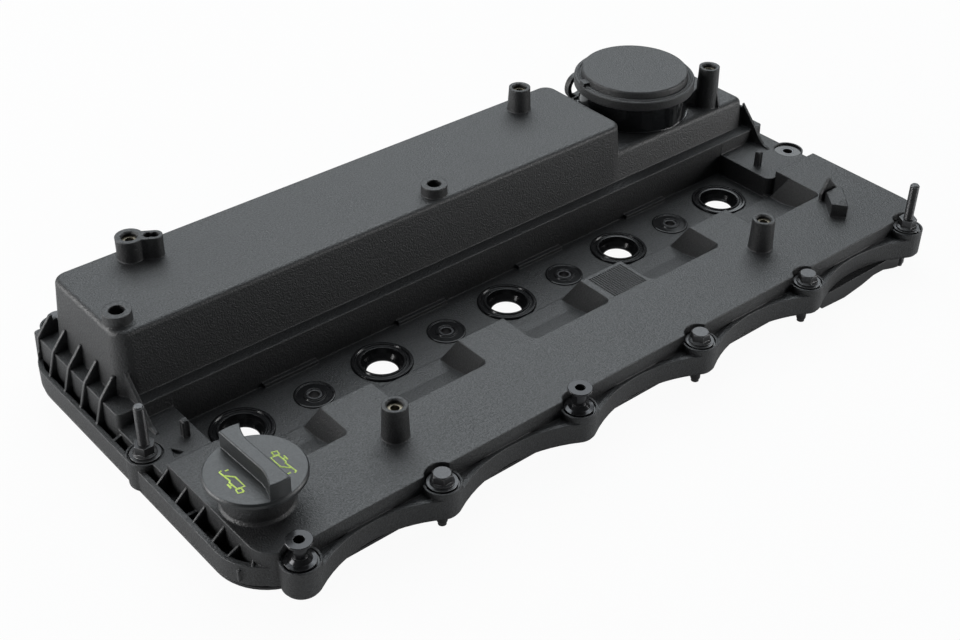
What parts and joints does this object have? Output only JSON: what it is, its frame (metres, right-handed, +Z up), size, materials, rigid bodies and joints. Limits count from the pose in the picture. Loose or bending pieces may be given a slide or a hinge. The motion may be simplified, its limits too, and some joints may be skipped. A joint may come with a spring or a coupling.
{
  "type": "engine_valve_cover",
  "caption": "Black moulded valve cover of an in-line diesel engine with oil separator housing, round breather valve, quarter-turn oil cap, injector seals and captive bolts.",
  "frame": {"origin": "middle of the overall plan, at the level of the bolt tips", "axes": "+X along the crankshaft towards the breather valve's end, +Y towards the separator housing, +Z up"},
  "size_m": [0.5382, 0.2712, 0.095],
  "materials": {
    "nylon": "satin",
    "cap_nylon": "matte",
    "acetal": "satin",
    "rubber": "satin",
    "steel": "satin",
    "dark_steel": "satin",
    "polished_black": "polished",
    "brass": "satin"
  },
  "bodies": {
    "cover": {"cover_body": "nylon", "separator_baffle": "nylon", "breather_lid": "nylon", "perimeter_gasket": "rubber", "injector_seal_1": "rubber", "injector_seal_2": "rubber", "injector_seal_3": "rubber", "injector_seal_4": "rubber", "injector_seal_5": "rubber", "valley_grommet_1": "rubber", "valley_grommet_2": "rubber", "valley_grommet_3": "rubber", "valley_grommet_4": "rubber", "boss_grommets": "rubber", "valley_sleeves": "steel", "boss_sleeves": "steel", "washers": "dark_steel", "hex_bolts": "dark_steel", "stud_left": "dark_steel", "stud_right": "dark_steel", "stud_nut_left": "dark_steel", "stud_nut_right": "dark_steel", "spool_left": "polished_black", "spool_middle": "polished_black", "insert_post_a": "brass", "insert_post_b": "brass", "insert_post_c": "brass", "insert_post_d": "brass", "insert_pair_boss": "brass", "breather_diaphragm": "rubber", "breather_spring": "steel"},
    "cap": {"oil_filler_cap": "cap_nylon", "cap_seal": "rubber"},
    "plunger": {"breather_plunger": "acetal"}
  },
  "joints": [
    {"name": "cap_turn", "type": "hinge", "parent": "cover", "child": "cap", "pos_m": [-0.235, -0.081, 0.0507], "axis": [0, 0, 1], "range_deg": [0, 90]},
    {"name": "breather_stroke", "type": "slide", "parent": "cover", "child": "plunger", "axis": [0, 0, -1], "range_m": [0, 0.003], "stiffness_N_per_m": 150, "springref_m": -0.002, "deforming": ["breather_spring", "breather_diaphragm"]}
  ]
}
